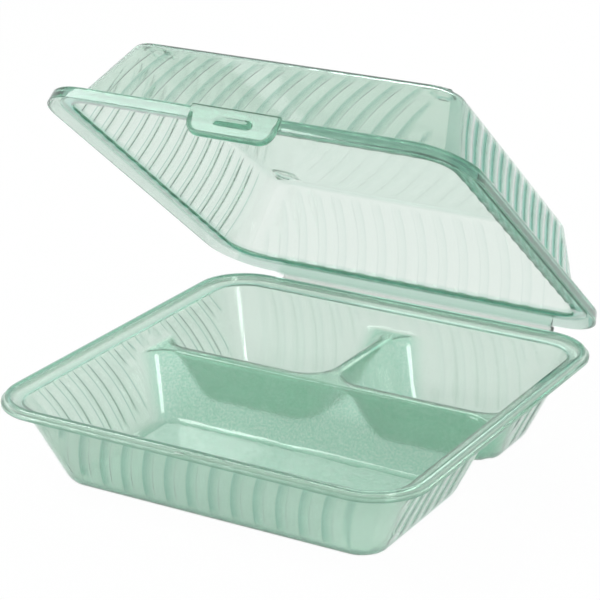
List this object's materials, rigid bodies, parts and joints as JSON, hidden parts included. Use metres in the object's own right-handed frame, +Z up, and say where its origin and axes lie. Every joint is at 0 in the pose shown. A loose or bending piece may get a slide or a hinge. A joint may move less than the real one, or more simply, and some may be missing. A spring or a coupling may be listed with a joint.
{
  "type": "three-compartment takeout container",
  "caption": "Reusable square takeout container: ribbed tray with three cups divided by hollow ridges, and a ribbed hinged lid with a front latch tab.",
  "frame": {"origin": "middle of the tray's underside, on the surface that the container stands on", "axes": "+Z up, +X along the hinge to the right as seen from the front, +Y to the hinge at the back"},
  "size_m": [0.229, 0.2364, 0.2055],
  "materials": {
    "tray": "translucent jade polypropylene, frosted floors and glossy walls",
    "lid": "clearer translucent jade polypropylene, glossy",
    "hinge_web": "thin translucent jade polypropylene strip"
  },
  "bodies": {
    "tray": {"tray": "tray", "hinge_web": "hinge_web"},
    "lid": {"lid": "lid"}
  },
  "joints": [
    {"name": "lid_hinge", "type": "hinge", "parent": "tray", "child": "lid", "pos_m": [0, 0.1204, 0.04415], "axis": [-1, 0, 0], "range_deg": [-37.75, 140], "deforming": ["hinge_web"]}
  ]
}
